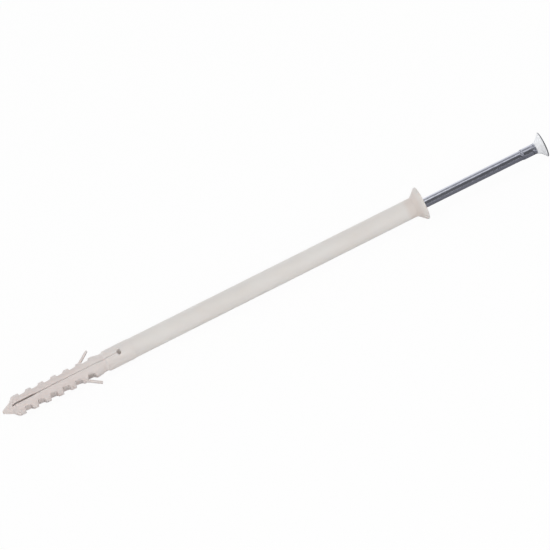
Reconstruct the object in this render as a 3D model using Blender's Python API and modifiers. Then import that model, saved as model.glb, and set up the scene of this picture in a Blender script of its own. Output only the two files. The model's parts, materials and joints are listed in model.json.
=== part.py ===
"""Hammer fixing: a nylon expansion plug with its drive nail standing part-way out, lying on its side.

Both pieces are turned about a Z axis of their own. The plug's tip is at the origin and its
collar is at the top, its barbs stand out along X and its slit faces along Y. A parent empty
then lays the fixing down along world X, as it comes to rest: on the collar's rim, on the
first tooth and on the tip of one barb. Lengths are in metres.
"""

import math

import bmesh
import bpy
from mathutils import Matrix, Vector

# Plug, from its tip to its collar
PLUG_LENGTH = 0.180
BARREL_FRONT_DIAMETER = 0.0079
BARREL_NECK_DIAMETER = 0.0078
SHOULDER_DIAMETER = 0.0082
SHOULDER_LENGTH = 0.0110
WAIST_DIAMETER = 0.0072
WAIST_LENGTH = 0.0037
STEP_RUN = 0.0008

# Tip, a blunt cone that flares out to the first tooth
NOSE_RADIUS = 0.00086
TIP_CONE_LENGTH = 0.0034
TIP_CONE_DIAMETER = 0.0043
TIP_FLARE_LENGTH = 0.0026

# Teeth, cut across both legs on the sides that carry the barbs
TOOTH_COUNT = 7
TOOTH_PITCH = 0.00534
CREST_DIAMETER = 0.0083
FIRST_LAND = 0.0021
TOOTH_LAND = 0.0016
TOOTH_EDGE = 0.00018
GROOVE_BACK_DEPTH = 0.00168
GROOVE_FRONT_DEPTH = 0.00145
GROOVE_BACK_RUN = 0.00022
GROOVE_RAMP_RUN = 0.00075

# Slit that parts the legs, and the oval hole that ends it
SLIT_START = 0.0037
SLIT_WIDTH = 0.00068
SLIT_WIDE_LENGTH = 0.0092
SLIT_TAPER_LENGTH = 0.0055
SLIT_NARROW_WIDTH = 0.00026
HOLE_FROM_TIP = 0.0498
HOLE_LENGTH = 0.0016
HOLE_WIDTH = 0.0024

# Barbs, swept back from the last tooth but one
BARB_TOOTH = 6
BARB_SPAN = 0.0147
BARB_ANGLE = math.radians(34)
BARB_ROOT_THICKNESS = 0.00095
BARB_TIP_THICKNESS = 0.00080
BARB_WIDTH = 0.0016
BARB_ROOT_INSET = 0.00015
BARB_ROOT_SINK = 0.0012

# Collar, a trumpet flare with a flat face that the head drives into
COLLAR_DIAMETER = 0.0132
COLLAR_RIM = 0.00085
COLLAR_RIM_EDGE = 0.00012
FLARE_LENGTH = 0.0032
FLARE_CURVE = 1.2

# Drive nail, from its point to the top of its head
NAIL_LENGTH = 0.178
NAIL_PROTRUSION = 0.052
SHANK_DIAMETER = 0.00387
POINT_LENGTH = 0.0045
POINT_FLAT = 0.0003
GRIP_DIAMETER = 0.0043
GRIP_LENGTH = 0.0060
GRIP_STEP_RUN = 0.0009
HEAD_DIAMETER = 0.0100
HEAD_CONE_LENGTH = 0.0036
HEAD_CONE_CURVE = 1.7
HEAD_RIM = 0.0004
HEAD_TOP_EDGE = 0.00012

# Cross recess in the head
RECESS_SPAN = 0.0054
RECESS_FLOOR_SPAN = 0.0030
RECESS_WING = 0.0012
RECESS_FLOOR_WING = 0.0008
RECESS_CORE = 0.0030
RECESS_FLOOR_CORE = 0.0016
RECESS_DEPTH = 0.0027

# Bore and clearances
BORE_CLEARANCE = 0.00090
HEAD_CLEARANCE = 0.00070
POINT_CLEARANCE = 0.00025
REST_GAP = 0.00030
LEG_BORE_DIAMETER = 0.0026
LEG_BORE_START = 0.0046

# The side of the wide bore that the nail leans on, which is its low side as the fixing lies
LEAN_SIDE = math.radians(225)

# Facets
ROUND_STEPS = 48
CURVE_POINTS = 8
NOSE_POINTS = 4
CUT_OVERRUN = 0.002
MERGE_DISTANCE = 0.000001

# Places along the axis that follow from the sizes
CREST_START = TIP_CONE_LENGTH + TIP_FLARE_LENGTH
FIRST_GROOVE = CREST_START + FIRST_LAND
GROOVE_OPENING = TOOTH_PITCH - TOOTH_LAND
TEETH_END = FIRST_GROOVE + (TOOTH_COUNT - 1) * TOOTH_PITCH
WAIST_END = TEETH_END + WAIST_LENGTH
SHOULDER_END = WAIST_END + SHOULDER_LENGTH
RIM_START = PLUG_LENGTH - COLLAR_RIM
NECK = RIM_START - FLARE_LENGTH
NAIL_POINT = PLUG_LENGTH + NAIL_PROTRUSION - NAIL_LENGTH
SHANK_RADIUS = SHANK_DIAMETER / 2
GRIP_RADIUS = GRIP_DIAMETER / 2
HEAD_RADIUS = HEAD_DIAMETER / 2
CREST_RADIUS = CREST_DIAMETER / 2
COLLAR_RADIUS = COLLAR_DIAMETER / 2
BORE_RADIUS = SHANK_RADIUS + BORE_CLEARANCE
LEG_BORE_RADIUS = LEG_BORE_DIAMETER / 2


def clear_scene():
    """Empty the scene."""
    for obj in list(bpy.data.objects):
        bpy.data.objects.remove(obj, do_unlink=True)


def new_collection(name):
    """Make a collection in the scene."""
    collection = bpy.data.collections.new(name)
    bpy.context.scene.collection.children.link(collection)
    return collection


def principled(name, colour, roughness, metallic):
    """Make a plain material."""
    material = bpy.data.materials.new(name)
    material.use_nodes = True
    shader = material.node_tree.nodes["Principled BSDF"]
    shader.inputs["Base Color"].default_value = (*colour, 1.0)
    shader.inputs["Roughness"].default_value = roughness
    shader.inputs["Metallic"].default_value = metallic
    return material


def nylon():
    """Off-white moulded nylon."""
    return principled("off_white_nylon", (0.68, 0.65, 0.61), 0.42, 0.0)


def zinc():
    """Bright zinc-plated steel."""
    return principled("zinc_plated_steel", (0.62, 0.64, 0.68), 0.25, 1.0)


def curve_between(start, end, exponent, count):
    """Points from start to end, each (radius, height), whose radius grows by a power of the run."""
    points = []
    for index in range(count + 1):
        share = index / count
        radius = start[0] + (end[0] - start[0]) * share**exponent
        points.append((radius, start[1] + (end[1] - start[1]) * share))
    return points


def nose_outline():
    """The rounded nose and the tip's cone, from the axis outward, ending where the flare starts."""
    cone_radius = TIP_CONE_DIAMETER / 2
    reach = math.hypot(cone_radius, TIP_CONE_LENGTH - NOSE_RADIUS)
    lean = math.atan2(cone_radius, TIP_CONE_LENGTH - NOSE_RADIUS)
    turn = math.pi - lean - math.acos(NOSE_RADIUS / reach)
    points = []
    for index in range(NOSE_POINTS + 1):
        angle = turn * index / NOSE_POINTS
        points.append((NOSE_RADIUS * math.sin(angle), NOSE_RADIUS * (1 - math.cos(angle))))
    points.append((cone_radius, TIP_CONE_LENGTH))
    return points


def tip_flare():
    """The flare from the tip's cone to the first crest: it leaves along the cone and ends level."""
    nose = nose_outline()
    slope = (nose[-1][0] - nose[-2][0]) / (nose[-1][1] - nose[-2][1])
    start = TIP_CONE_DIAMETER / 2
    points = []
    for index in range(1, CURVE_POINTS + 1):
        share = index / CURVE_POINTS
        rise = share**2 * (3 - 2 * share)
        lead = share * (1 - share) ** 2 * slope * TIP_FLARE_LENGTH
        radius = start + (CREST_RADIUS - start) * rise + lead
        points.append((radius, TIP_CONE_LENGTH + TIP_FLARE_LENGTH * share))
    return points


def plug_outside():
    """The plug's outer profile, from the axis at the tip up to the rim's outer edge at the face."""
    waist = WAIST_DIAMETER / 2
    shoulder = SHOULDER_DIAMETER / 2
    neck = BARREL_NECK_DIAMETER / 2
    return [
        *nose_outline(),
        *tip_flare(),
        (CREST_RADIUS, TEETH_END - STEP_RUN / 2),
        (waist, TEETH_END + STEP_RUN / 2),
        (waist, WAIST_END - STEP_RUN / 2),
        (shoulder, WAIST_END + STEP_RUN / 2),
        (shoulder, SHOULDER_END - STEP_RUN / 2),
        (BARREL_FRONT_DIAMETER / 2, SHOULDER_END + STEP_RUN / 2),
        *curve_between((neck, NECK), (COLLAR_RADIUS, RIM_START), FLARE_CURVE, CURVE_POINTS),
        (COLLAR_RADIUS, PLUG_LENGTH - COLLAR_RIM_EDGE),
        (COLLAR_RADIUS - COLLAR_RIM_EDGE, PLUG_LENGTH),
    ]


def countersink_depth():
    """Depth of the collar's seat: the head's rim, and its cone carried down to the bore."""
    cone_slope = (HEAD_RADIUS - GRIP_RADIUS) / HEAD_CONE_LENGTH
    return HEAD_RIM + (HEAD_RADIUS + HEAD_CLEARANCE - BORE_RADIUS) / cone_slope


def plug_inside():
    """The bore's profile, from its blind end on the axis up to the seat's edge at the face."""
    point_slope = SHANK_RADIUS / POINT_LENGTH
    back_off = POINT_CLEARANCE / math.sin(math.atan(point_slope))
    narrowing = NAIL_POINT + LEG_BORE_RADIUS / point_slope - back_off
    widening = NAIL_POINT + BORE_RADIUS / point_slope - back_off
    seat = HEAD_RADIUS + HEAD_CLEARANCE
    return [
        (0.0, LEG_BORE_START - LEG_BORE_RADIUS / 2),
        (LEG_BORE_RADIUS, LEG_BORE_START),
        (LEG_BORE_RADIUS, narrowing),
        (BORE_RADIUS, widening),
        (BORE_RADIUS, PLUG_LENGTH - countersink_depth()),
        (seat, PLUG_LENGTH - HEAD_RIM),
        (seat, PLUG_LENGTH),
    ]


def nail_outline():
    """The nail's profile, from the axis at its point, at height zero, up to the axis at its top."""
    top = NAIL_LENGTH
    cone_top = top - HEAD_RIM
    neck = cone_top - HEAD_CONE_LENGTH
    grip = neck - GRIP_LENGTH
    return [
        (0.0, 0.0),
        (POINT_FLAT, 0.0),
        (SHANK_RADIUS, POINT_LENGTH),
        (SHANK_RADIUS, grip),
        (GRIP_RADIUS, grip + GRIP_STEP_RUN),
        *curve_between((GRIP_RADIUS, neck), (HEAD_RADIUS, cone_top), HEAD_CONE_CURVE, CURVE_POINTS),
        (HEAD_RADIUS, top - HEAD_TOP_EDGE),
        (HEAD_RADIUS - HEAD_TOP_EDGE, top),
        (0.0, top),
    ]


def turned(name, outline, material, collection):
    """Turn an outline of (radius, height) points, listed down its outer side, about Z.

    The outline stands half a step round, so that flats and not corners face along X and Y.
    """
    half_step = math.pi / ROUND_STEPS
    mesh = bpy.data.meshes.new(name)
    points = [(r * math.cos(half_step), r * math.sin(half_step), z) for r, z in outline]
    mesh.from_pydata(points, [(i, i + 1) for i in range(len(points) - 1)], [])
    obj = bpy.data.objects.new(name, mesh)
    collection.objects.link(obj)
    obj.data.materials.append(material)
    screw = obj.modifiers.new("turn", "SCREW")
    screw.steps = ROUND_STEPS
    screw.render_steps = ROUND_STEPS
    screw.use_smooth_shade = True
    screw.use_merge_vertices = True
    screw.merge_threshold = MERGE_DISTANCE
    return obj


def as_helper(obj):
    """Mark an object as a cutter or a join helper, which no render shows."""
    obj.hide_render = True
    obj.display_type = "WIRE"
    return obj


def extruded(name, outline, thickness, collection):
    """A helper of an outline in the XZ plane, given thickness along Y."""
    curve = bpy.data.curves.new(name, "CURVE")
    curve.dimensions = "2D"
    curve.fill_mode = "BOTH"
    curve.extrude = thickness / 2
    spline = curve.splines.new("POLY")
    spline.points.add(len(outline) - 1)
    for point, (x, z) in zip(spline.points, outline):
        point.co = (x, z, 0.0, 1.0)
    spline.use_cyclic_u = True
    drawn = bpy.data.objects.new(name + "_outline", curve)
    collection.objects.link(drawn)
    drawn.rotation_euler = (math.radians(90), 0.0, 0.0)
    bpy.context.view_layer.update()
    graph = bpy.context.evaluated_depsgraph_get()
    mesh = bpy.data.meshes.new_from_object(drawn.evaluated_get(graph))
    shape = bmesh.new()
    shape.from_mesh(mesh)
    bmesh.ops.remove_doubles(shape, verts=shape.verts, dist=MERGE_DISTANCE)
    bmesh.ops.recalc_face_normals(shape, faces=shape.faces)
    shape.to_mesh(mesh)
    shape.free()
    obj = bpy.data.objects.new(name, mesh)
    collection.objects.link(obj)
    obj.matrix_world = drawn.matrix_world
    bpy.data.objects.remove(drawn, do_unlink=True)
    return as_helper(obj)


def mirrored(obj):
    """Give a helper its twin on the other side of the plug."""
    mirror = obj.modifiers.new("both_sides", "MIRROR")
    mirror.use_mirror_merge = False
    return obj


def boolean(obj, helper, operation):
    """Cut a helper from an object, or join it on."""
    modifier = obj.modifiers.new(helper.name, "BOOLEAN")
    modifier.operation = operation
    modifier.solver = "EXACT"
    modifier.object = helper


def groove_cutters(helpers):
    """The grooves between the teeth: a steep back, a floor that rises toward the collar, a ramp."""
    start = FIRST_GROOVE + TOOTH_EDGE
    end = FIRST_GROOVE + GROOVE_OPENING - TOOTH_EDGE
    brink = CREST_RADIUS - TOOTH_EDGE
    spread = TOOTH_EDGE + CUT_OVERRUN
    outline = [
        (brink + spread, start - spread),
        (brink, start),
        (CREST_RADIUS - GROOVE_BACK_DEPTH, start + GROOVE_BACK_RUN),
        (CREST_RADIUS - GROOVE_FRONT_DEPTH, end - GROOVE_RAMP_RUN),
        (brink, end),
        (brink + spread, end + spread),
    ]
    cutter = mirrored(extruded("groove_cutters", outline, CREST_DIAMETER + CUT_OVERRUN, helpers))
    array = cutter.modifiers.new("row", "ARRAY")
    array.count = TOOTH_COUNT - 1
    array.use_relative_offset = False
    array.use_constant_offset = True
    array.constant_offset_displace = (0.0, TOOTH_PITCH, 0.0)
    return cutter


def slit_cutter(helpers):
    """The slit: wide behind the tip, closing to a hairline, and ending in the hole."""
    wide = SLIT_WIDTH / 2
    narrow = SLIT_NARROW_WIDTH / 2
    taper_start = SLIT_START + SLIT_WIDE_LENGTH
    side = [
        (wide / 2, SLIT_START),
        (wide, SLIT_START + wide),
        (wide, taper_start),
        (narrow, taper_start + SLIT_TAPER_LENGTH),
        (narrow, HOLE_FROM_TIP),
    ]
    outline = side + [(-x, z) for x, z in reversed(side)]
    return extruded("slit_cutter", outline, CREST_DIAMETER + CUT_OVERRUN, helpers)


def hole_cutter(helpers):
    """The oval hole through both walls at the end of the slit."""
    outline = []
    for index in range(ROUND_STEPS // 2):
        angle = 4 * math.pi * (index + 0.5) / ROUND_STEPS
        across = HOLE_WIDTH / 2 * math.cos(angle)
        outline.append((across, HOLE_FROM_TIP + HOLE_LENGTH / 2 * math.sin(angle)))
    return extruded("hole_cutter", outline, SHOULDER_DIAMETER + CUT_OVERRUN, helpers)


def barb_line():
    """A barb's middle line, from its sunk root to its tip, and the direction across it."""
    along = Vector((math.sin(BARB_ANGLE), math.cos(BARB_ANGLE)))
    across = Vector((along.y, -along.x))
    rear = FIRST_GROOVE + (BARB_TOOTH - 1) * TOOTH_PITCH
    root = Vector((CREST_RADIUS - BARB_ROOT_INSET, rear)) - along * BARB_ROOT_SINK
    reach = (BARB_SPAN / 2 - BARB_TIP_THICKNESS / 2 * across.x - root.x) / along.x
    return root, root + along * reach, across


def barbs(helpers):
    """Two thin fins that lean back toward the collar from the rear of one tooth."""
    root, tip, across = barb_line()
    half_tip = BARB_TIP_THICKNESS / 2
    half_root = BARB_ROOT_THICKNESS / 2
    outline = [
        root - across * half_root,
        root + across * half_root,
        tip + across * half_tip,
        tip - across * half_tip,
    ]
    return mirrored(extruded("barbs", outline, BARB_WIDTH, helpers))


def expansion_plug(parts, helpers):
    """The moulded plug: turned body and bore, cut teeth, slit and hole, and its two barbs."""
    outline = plug_inside() + list(reversed(plug_outside()))
    plug = turned("expansion_plug", outline, nylon(), parts)
    boolean(plug, groove_cutters(helpers), "DIFFERENCE")
    boolean(plug, slit_cutter(helpers), "DIFFERENCE")
    boolean(plug, hole_cutter(helpers), "DIFFERENCE")
    boolean(plug, barbs(helpers), "UNION")
    return plug


def recess_wing(name, turn, helpers):
    """One tapered blade of the cross recess, from its floor to above the head's top."""
    share = (RECESS_DEPTH + CUT_OVERRUN) / RECESS_DEPTH
    mesh = bpy.data.meshes.new(name)
    shape = bmesh.new()
    bmesh.ops.create_cube(shape, size=1.0)
    for vertex in shape.verts:
        raised = vertex.co.z > 0
        grown = share if raised else 0.0
        span = RECESS_FLOOR_SPAN + (RECESS_SPAN - RECESS_FLOOR_SPAN) * grown
        wing = RECESS_FLOOR_WING + (RECESS_WING - RECESS_FLOOR_WING) * grown
        height = NAIL_LENGTH + (CUT_OVERRUN if raised else -RECESS_DEPTH)
        vertex.co = (vertex.co.x * span, vertex.co.y * wing, height)
    shape.to_mesh(mesh)
    shape.free()
    wing = bpy.data.objects.new(name, mesh)
    helpers.objects.link(wing)
    wing.rotation_euler = (0.0, 0.0, turn)
    return as_helper(wing)


def recess_core(helpers):
    """The tapered middle of the cross recess."""
    share = (RECESS_DEPTH + CUT_OVERRUN) / RECESS_DEPTH
    mesh = bpy.data.meshes.new("recess_core")
    shape = bmesh.new()
    bmesh.ops.create_cone(
        shape,
        cap_ends=True,
        segments=ROUND_STEPS // 2,
        radius1=RECESS_FLOOR_CORE / 2,
        radius2=(RECESS_FLOOR_CORE + (RECESS_CORE - RECESS_FLOOR_CORE) * share) / 2,
        depth=RECESS_DEPTH + CUT_OVERRUN,
        matrix=Matrix.Translation((0.0, 0.0, NAIL_LENGTH + (CUT_OVERRUN - RECESS_DEPTH) / 2)),
    )
    shape.to_mesh(mesh)
    shape.free()
    core = bpy.data.objects.new("recess_core", mesh)
    helpers.objects.link(core)
    return as_helper(core)


def nail_lean():
    """Rotation that lays the nail against the bore's mouth, with its point on the plug's axis."""
    mouth = PLUG_LENGTH - countersink_depth()
    offset = BORE_CLEARANCE - REST_GAP
    leaning = Vector((offset * math.cos(LEAN_SIDE), offset * math.sin(LEAN_SIDE), mouth - NAIL_POINT))
    return Vector((0.0, 0.0, 1.0)).rotation_difference(leaning)


def drive_nail(parts, helpers):
    """The nail, on an empty at its point whose Z axis is the line that the nail drives along."""
    nail_axis = bpy.data.objects.new("nail_axis", None)
    parts.objects.link(nail_axis)
    nail_axis.location = (0.0, 0.0, NAIL_POINT)
    nail_axis.rotation_mode = "QUATERNION"
    nail_axis.rotation_quaternion = nail_lean()
    nail = turned("drive_nail", list(reversed(nail_outline())), zinc(), parts)
    cutters = [recess_core(helpers)]
    for index in range(2):
        cutters.append(recess_wing(f"recess_wing_{index + 1}", index * math.radians(90), helpers))
    for cutter in cutters:
        boolean(nail, cutter, "DIFFERENCE")
    for obj in (nail, *cutters):
        obj.parent = nail_axis
    return nail_axis


def resting_slope():
    """How fast the floor falls away from the axis, from the first tooth to the collar's rim."""
    return (COLLAR_RADIUS - CREST_RADIUS) / (RIM_START - CREST_START)


def resting_roll():
    """How far the fixing rolls from level barbs until the tip of one barb meets the floor."""
    root, tip, across = barb_line()
    station = tip.y + across.y * BARB_TIP_THICKNESS / 2
    floor = CREST_RADIUS + (station - CREST_START) * resting_slope()
    reach = math.hypot(BARB_SPAN, BARB_WIDTH) / 2
    return math.asin(min(1.0, floor / reach)) - math.atan2(BARB_WIDTH, BARB_SPAN)


def lay_down(root, nodes):
    """Lay the fixing on the floor, with the middle of its base at the world's origin."""
    lying = Matrix.Rotation(math.radians(90), 4, "Z") @ Matrix.Rotation(math.radians(90), 4, "X")
    rolled = Matrix.Rotation(resting_roll(), 4, "X")
    root.matrix_world = Matrix.Rotation(-math.atan(resting_slope()), 4, "Y") @ rolled @ lying
    bpy.context.view_layer.update()
    graph = bpy.context.evaluated_depsgraph_get()
    corners = []
    for node in nodes:
        shown = node.evaluated_get(graph)
        mesh = shown.to_mesh()
        corners += [shown.matrix_world @ vertex.co for vertex in mesh.vertices]
        shown.to_mesh_clear()
    low = Vector([min(corner[axis] for corner in corners) for axis in range(3)])
    high = Vector([max(corner[axis] for corner in corners) for axis in range(3)])
    middle = (low + high) / 2
    root.location -= Vector((middle.x, middle.y, low.z))


def main():
    clear_scene()
    parts = new_collection("hammer_fixing")
    helpers = new_collection("cutters")
    root = bpy.data.objects.new("hammer_fixing", None)
    parts.objects.link(root)
    plug = expansion_plug(parts, helpers)
    nail_axis = drive_nail(parts, helpers)
    plug_helpers = [modifier.object for modifier in plug.modifiers if modifier.type == "BOOLEAN"]
    for obj in (plug, nail_axis, *plug_helpers):
        obj.parent = root
    nail = bpy.data.objects["drive_nail"]
    lay_down(root, [plug, nail])
    bpy.context.view_layer.update()


main()
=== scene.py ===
"""Hammer fixing lying on a pale floor: a nylon expansion plug and its zinc-plated drive nail.

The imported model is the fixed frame. Each of its two nodes is replaced by a finer piece of the
same form, built in the axis frame of its own part (Z along the part, in millimetres) and laid
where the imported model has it. The plug's slit faces local Y and its barbs stand along local X.
As in the photo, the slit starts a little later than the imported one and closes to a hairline, and
the waist and the collar's flare start more softly.
"""

from __future__ import annotations

import json
import logging
import math
from dataclasses import dataclass, field
from enum import Enum

import bmesh
import bpy
import numpy as np
from mathutils import Matrix, Vector


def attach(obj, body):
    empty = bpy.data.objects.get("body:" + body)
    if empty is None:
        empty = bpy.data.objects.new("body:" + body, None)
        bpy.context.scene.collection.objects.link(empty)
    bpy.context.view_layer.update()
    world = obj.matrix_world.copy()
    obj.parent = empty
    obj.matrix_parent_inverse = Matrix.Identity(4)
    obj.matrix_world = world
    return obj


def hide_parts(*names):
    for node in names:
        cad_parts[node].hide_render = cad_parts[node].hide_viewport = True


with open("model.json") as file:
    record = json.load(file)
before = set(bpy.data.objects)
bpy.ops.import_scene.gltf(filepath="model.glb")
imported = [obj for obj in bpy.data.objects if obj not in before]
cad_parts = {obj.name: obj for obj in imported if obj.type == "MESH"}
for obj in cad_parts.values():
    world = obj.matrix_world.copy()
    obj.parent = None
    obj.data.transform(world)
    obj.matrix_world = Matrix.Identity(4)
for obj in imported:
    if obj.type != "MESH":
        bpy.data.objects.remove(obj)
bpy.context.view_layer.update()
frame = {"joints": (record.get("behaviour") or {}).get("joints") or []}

LOG = logging.getLogger("hammer_fixing")
MM = 0.001
MERGE_DISTANCE = 1e-8
OWN_PLACE = "own_place"
NEARLY_STRAIGHT = math.radians(172)
CORNER_SHARE = 0.45
EDGE_STEPS = 3
FAR_OFF = 99.0
TINY = 1e-9

Point = tuple[float, float]
Span = tuple[float, float]
Colour = tuple[float, float, float]
Place = tuple[float, float, float]
Grid = tuple[np.ndarray, np.ndarray, np.ndarray]


class Body(Enum):
    """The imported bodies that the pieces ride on."""

    PLUG = "plug"
    NAIL = "nail"


class Slot(Enum):
    """The record's material slots."""

    NYLON = "nylon"
    ZINC = "zinc_steel"


class Side(Enum):
    """The two sides of the plug that carry teeth and a barb."""

    FAR = 1
    NEAR = -1


class Joining(Enum):
    """What a helper does to the piece that it meets, as the Boolean modifier names it."""

    ADD = "UNION"
    CUT = "DIFFERENCE"


# Outlines and meshes


def rounded(points: list[Point], radius: float, steps: int = 4) -> list[Point]:
    """Round the corners of an open outline.

    Args:
        points: The outline's corners, in millimetres.
        radius: How far from a corner its rounding starts, cut short where a side is short.
        steps: How many pieces each rounding has.

    Returns:
        The outline with a short curve in place of each real corner.
    """
    result = [points[0]]
    for before, corner, after in zip(points, points[1:], points[2:]):
        middle = Vector(corner)
        back, ahead = Vector(before) - middle, Vector(after) - middle
        if back.angle(ahead) > NEARLY_STRAIGHT:
            result.append(corner)
            continue
        setback = min(radius, CORNER_SHARE * back.length, CORNER_SHARE * ahead.length)
        start = middle + back.normalized() * setback
        end = middle + ahead.normalized() * setback
        for step in range(steps + 1):
            share = step / steps
            first = start.lerp(middle, share)
            result.append(tuple(first.lerp(middle.lerp(end, share), share)))
    result.append(points[-1])
    return result


def power_curve(start: Point, end: Point, exponent: float, count: int) -> list[Point]:
    """Points from start to end whose radius grows by a power of the run along the axis.

    Args:
        start: First (radius, height).
        end: Last (radius, height).
        exponent: The power.
        count: How many pieces the curve has.

    Returns:
        The curve's points, both ends included.
    """
    shares = [index / count for index in range(count + 1)]
    return [
        (start[0] + (end[0] - start[0]) * share**exponent, start[1] + (end[1] - start[1]) * share)
        for share in shares
    ]


def soft_minimum(first: np.ndarray, second: np.ndarray, blend: float) -> np.ndarray:
    """The lesser of two lengths, with the crossing rounded.

    Args:
        first: One set of lengths.
        second: The other set.
        blend: How far from the crossing the rounding reaches.

    Returns:
        The rounded minimum.
    """
    share = np.clip(0.5 + 0.5 * (second - first) / blend, 0.0, 1.0)
    return second + (first - second) * share - blend * share * (1.0 - share)


def mesh_from(name: str, points: np.ndarray, faces: list[tuple[int, ...]]) -> bpy.types.Mesh:
    """Make a closed mesh from points in millimetres.

    Args:
        name: The mesh's name.
        points: One row of three numbers a point.
        faces: The corners of each face.

    Returns:
        The mesh in metres, with meeting points joined and its faces turned outward.
    """
    mesh = bpy.data.meshes.new(name)
    mesh.from_pydata((points * MM).tolist(), [], faces)
    tidy_mesh(mesh)
    return mesh


def tidy_mesh(mesh: bpy.types.Mesh) -> None:
    """Join the points of a mesh that meet and turn its faces outward.

    Args:
        mesh: The mesh to tidy.
    """
    shape = bmesh.new()
    shape.from_mesh(mesh)
    bmesh.ops.remove_doubles(shape, verts=shape.verts, dist=MERGE_DISTANCE)
    bmesh.ops.dissolve_degenerate(shape, edges=shape.edges, dist=MERGE_DISTANCE)
    bmesh.ops.recalc_face_normals(shape, faces=shape.faces)
    open_edges = sum(1 for edge in shape.edges if not edge.is_manifold)
    if open_edges:
        LOG.warning("%s has %d open edges", mesh.name, open_edges)
    shape.to_mesh(mesh)
    shape.free()


def new_piece(name: str, mesh: bpy.types.Mesh) -> bpy.types.Object:
    """Put a mesh into the scene, at the origin.

    Args:
        name: The piece's name.
        mesh: Its mesh.

    Returns:
        The new object.
    """
    piece = bpy.data.objects.new(name, mesh)
    bpy.context.scene.collection.objects.link(piece)
    return piece


def combine(piece: bpy.types.Object, helpers: list[bpy.types.Object], joining: Joining) -> None:
    """Cut helpers from a piece or join them on, and take the helpers away.

    Args:
        piece: The piece that changes, in the same place as the helpers.
        helpers: Closed solids.
        joining: Whether they are joined on or cut away.
    """
    for helper in helpers:
        modifier = piece.modifiers.new(helper.name, "BOOLEAN")
        modifier.operation = joining.value
        modifier.solver = "MANIFOLD"
        modifier.object = helper
    graph = bpy.context.evaluated_depsgraph_get()
    made = bpy.data.meshes.new_from_object(piece.evaluated_get(graph))
    piece.modifiers.clear()
    piece.data = made
    for helper in helpers:
        bpy.data.objects.remove(helper, do_unlink=True)


def settle(piece: bpy.types.Object, place: Matrix) -> None:
    """Lay a piece in its place and keep its own axes as a mesh attribute for its textures.

    Args:
        piece: The piece, at the origin in its own axes.
        place: Where it goes.
    """
    mesh = piece.data
    own = np.empty(len(mesh.vertices) * 3, dtype=np.float32)
    mesh.vertices.foreach_get("co", own)
    mesh.attributes.new(OWN_PLACE, "FLOAT_VECTOR", "POINT").data.foreach_set("vector", own)
    mesh.transform(place)


def soften(shape: bmesh.types.BMesh, edges: list[bmesh.types.BMEdge], width: float) -> None:
    """Round some edges of a shape that is being built.

    Args:
        shape: The shape, in metres.
        edges: The edges to round.
        width: How far from each edge its rounding starts, in millimetres.
    """
    bmesh.ops.bevel(
        shape, geom=edges, offset=width * MM, segments=EDGE_STEPS, profile=0.5, affect="EDGES")


def smooth(piece: bpy.types.Object, angle: float) -> None:
    """Shade a piece smooth and keep its sharper edges crisp.

    Args:
        piece: The piece.
        angle: Edges that turn by more than this stay sharp, in radians.
    """
    piece.data.shade_smooth()
    piece.data.set_sharp_from_angle(angle=angle)


def turned(name: str, outline: list[Point], sides: int) -> bpy.types.Mesh:
    """Turn an outline of (radius, height) points that starts and ends on the axis.

    Args:
        name: The mesh's name.
        outline: The outline, in millimetres.
        sides: How many flats the turned form has.

    Returns:
        The closed mesh.
    """
    angles = (np.arange(sides) + 0.5) * 2 * math.pi / sides
    radii = np.array([point[0] for point in outline])[:, None]
    heights = np.array([point[1] for point in outline])[:, None]
    spread = np.ones_like(angles)[None, :]
    points = np.stack([radii * np.cos(angles), radii * np.sin(angles), heights * spread], axis=2)
    faces = []
    for ring in range(len(outline) - 1):
        for side in range(sides):
            after = (side + 1) % sides
            faces.append((ring * sides + side, ring * sides + after,
                          (ring + 1) * sides + after, (ring + 1) * sides + side))
    return mesh_from(name, points.reshape(-1, 3), faces)


# Shading


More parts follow.
